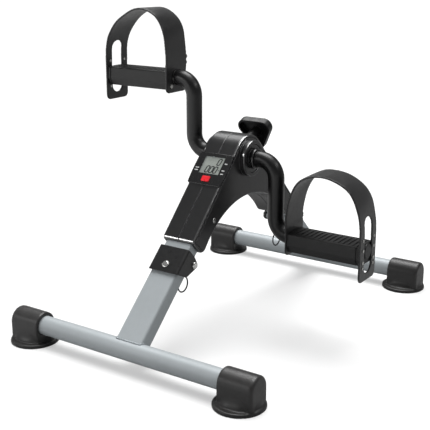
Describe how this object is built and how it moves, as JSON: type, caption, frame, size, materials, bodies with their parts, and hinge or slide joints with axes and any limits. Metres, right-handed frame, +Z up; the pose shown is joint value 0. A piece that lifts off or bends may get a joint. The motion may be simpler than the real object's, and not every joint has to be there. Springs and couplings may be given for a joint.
{
  "type": "pedal exerciser",
  "caption": "Folding floor pedal exerciser: inverted-V frame on cross bars with rubber feet, bent crank, strapped pedals, tension knob and a small counter display.",
  "frame": {"origin": "on the floor, midway between the two floor bars and between the pedals", "axes": "+X to the right-hand pedal, -Y to the seated user and the display, +Z up"},
  "size_m": [0.415, 0.5308, 0.4242],
  "materials": {
    "frame_grey": "satin silver-grey powder coat",
    "black_steel": "satin black powder coat",
    "housing_black": "satin moulded black plastic",
    "gloss_black": "semi-gloss black plastic",
    "pedal_black": "fine textured black plastic",
    "strap_black": "smooth dark flexible vinyl",
    "foot_rubber": "matte moulded rubber",
    "bright_steel": "bright plated",
    "plain_steel": "zinc plated",
    "nylon": "natural nylon",
    "lcd": "grey-green display",
    "clear": "clear window",
    "circuit_green": "circuit board",
    "red_button": "red moulded plastic",
    "magnet_grey": "nickel plated magnet"
  },
  "bodies": {
    "root": {"upper_frame": "frame_grey", "front_bracket": "black_steel", "rear_bracket": "black_steel", "hinge_bolts": "bright_steel", "hinge_nuts": "bright_steel", "lock_strikers": "bright_steel", "left_housing": "housing_black", "right_housing": "housing_black", "housing_screws": "bright_steel", "crank_bushes": "nylon", "boss_caps": "housing_black", "brake_guide": "plain_steel", "brake_nut": "plain_steel", "console_case": "gloss_black", "console_lens": "clear", "lcd_panel": "lcd", "console_board": "circuit_green", "console_back": "gloss_black", "button_cell": "plain_steel", "reed_sensor": "pedal_black", "sensor_lead": "pedal_black"},
    "crank": {"crank_tube": "black_steel", "left_spindle": "plain_steel", "right_spindle": "plain_steel", "spindle_nuts": "plain_steel", "magnet_collar": "pedal_black", "speed_magnet": "magnet_grey"},
    "left_pedal": {"left_pedal_body": "pedal_black", "left_pedal_bushes": "nylon", "left_strap": "strap_black", "left_strap_screws": "bright_steel", "left_end_cap": "pedal_black"},
    "right_pedal": {"right_pedal_body": "pedal_black", "right_pedal_bushes": "nylon", "right_strap": "strap_black", "right_strap_screws": "bright_steel", "right_end_cap": "pedal_black"},
    "brake_shoe": {"brake_shoe": "nylon"},
    "tension_knob": {"tension_knob": "housing_black", "tension_screw": "plain_steel"},
    "reset_button": {"reset_button": "red_button"},
    "front_leg": {"front_lower_post": "frame_grey", "front_base_tube": "frame_grey", "front_left_foot": "foot_rubber", "front_right_foot": "foot_rubber", "front_hinge_sleeve": "frame_grey", "front_pin_barrel": "black_steel", "front_pin_spring": "plain_steel"},
    "front_lock_pin": {"front_lock_pin": "plain_steel"},
    "front_pull_ring": {"front_pull_ring": "plain_steel"},
    "rear_leg": {"rear_lower_post": "frame_grey", "rear_base_tube": "frame_grey", "rear_left_foot": "foot_rubber", "rear_right_foot": "foot_rubber", "rear_hinge_sleeve": "frame_grey", "rear_pin_barrel": "black_steel", "rear_pin_spring": "plain_steel"},
    "rear_lock_pin": {"rear_lock_pin": "plain_steel"},
    "rear_pull_ring": {"rear_pull_ring": "plain_steel"}
  },
  "joints": [
    {"name": "crank_turn", "type": "hinge", "parent": "root", "child": "crank", "pos_m": [0, 0, 0.2292], "axis": [1, 0, 0], "continuous": true},
    {"name": "left_pedal_spin", "type": "hinge", "parent": "crank", "child": "left_pedal", "pos_m": [-0.15, 0, 0.3292], "axis": [1, 0, 0], "continuous": true},
    {"name": "right_pedal_spin", "type": "hinge", "parent": "crank", "child": "right_pedal", "pos_m": [0.15, 0, 0.1292], "axis": [1, 0, 0], "continuous": true},
    {"name": "front_leg_fold", "type": "hinge", "parent": "root", "child": "front_leg", "pos_m": [0, -0.12684, 0.11068], "axis": [1, 0, 0], "range_deg": [0, 90]},
    {"name": "rear_leg_fold", "type": "hinge", "parent": "root", "child": "rear_leg", "pos_m": [0, 0.12684, 0.11068], "axis": [-1, 0, 0], "range_deg": [0, 90]},
    {"name": "front_pin_pull", "type": "slide", "parent": "front_leg", "child": "front_lock_pin", "axis": [0, 0.6859, -0.7277], "range_m": [0, 0.008], "stiffness_N_per_m": 100, "springref_m": -0.003},
    {"name": "rear_pin_pull", "type": "slide", "parent": "rear_leg", "child": "rear_lock_pin", "axis": [0, -0.6859, -0.7277], "range_m": [0, 0.008], "stiffness_N_per_m": 100, "springref_m": -0.003},
    {"name": "front_ring_swing", "type": "hinge", "parent": "front_lock_pin", "child": "front_pull_ring", "pos_m": [0, -0.12745, 0.08538], "axis": [0, 0.7277, 0.6859], "range_deg": [-75, 75]},
    {"name": "rear_ring_swing", "type": "hinge", "parent": "rear_lock_pin", "child": "rear_pull_ring", "pos_m": [0, 0.12745, 0.08538], "axis": [0, -0.7277, 0.6859], "range_deg": [-75, 75]},
    {"name": "brake_advance", "type": "slide", "parent": "root", "child": "brake_shoe", "axis": [0, -0.9205, -0.3907], "range_m": [0, 0.0025]},
    {"name": "knob_turn", "type": "hinge", "parent": "brake_shoe", "child": "tension_knob", "pos_m": [0, 0, 0.2292], "axis": [0, -0.9205, -0.3907], "range_deg": [0, 720]},
    {"name": "button_press", "type": "slide", "parent": "root", "child": "reset_button", "axis": [0, 0.7196, -0.6944], "range_m": [0, 0.0008], "stiffness_N_per_m": 60, "springref_m": -0.001}
  ],
  "couplings": [
    {"joint": "brake_advance", "follows": "knob_turn", "m_per_rad": 0.0001989}
  ]
}
